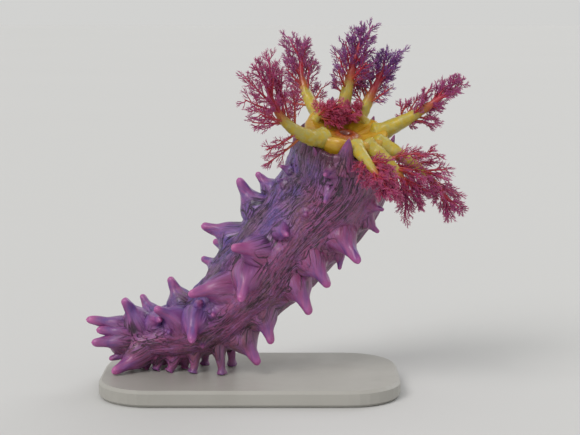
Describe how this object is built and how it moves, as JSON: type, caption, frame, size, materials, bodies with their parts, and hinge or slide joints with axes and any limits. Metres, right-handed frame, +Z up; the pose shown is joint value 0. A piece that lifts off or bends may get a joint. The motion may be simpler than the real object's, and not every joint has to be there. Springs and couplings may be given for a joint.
{
  "type": "sea cucumber",
  "caption": "Life-size still model of a thorny sea cucumber rearing up with its branching feeding tentacles spread, on a flat display base.",
  "frame": {"origin": "middle of the underside of the display base", "axes": "+Z up; +X from the tail towards the raised mouth; the pictured flank faces -Y"},
  "size_m": [0.1139, 0.0594, 0.1102],
  "materials": {
    "stand": "satin pale grey moulded plate",
    "skin": "damp leathery flesh, mauve to lilac, finely wrinkled",
    "disc": "smooth damp flesh, golden yellow",
    "stem": "smooth damp flesh, yellow to olive",
    "branch": "fine damp branchlets, crimson to purple"
  },
  "bodies": {
    "root": {"stand_base": "stand", "body_tail": "skin", "body_rear": "skin", "body_middle": "skin", "body_front": "skin", "oral_collar": "skin", "oral_disc": "disc", "tentacle_01_stem": "stem", "tentacle_01_branches": "branch", "tentacle_02_stem": "stem", "tentacle_02_branches": "branch", "tentacle_03_stem": "stem", "tentacle_03_branches": "branch", "tentacle_04_stem": "stem", "tentacle_04_branches": "branch", "tentacle_05_stem": "stem", "tentacle_05_branches": "branch", "tentacle_06_stem": "stem", "tentacle_06_branches": "branch", "tentacle_07_stem": "stem", "tentacle_07_branches": "branch", "tentacle_08_stem": "stem", "tentacle_08_branches": "branch", "tentacle_09_stem": "stem", "tentacle_09_branches": "branch", "tentacle_10_stem": "stem", "tentacle_10_branches": "branch"}
  },
  "joints": []
}
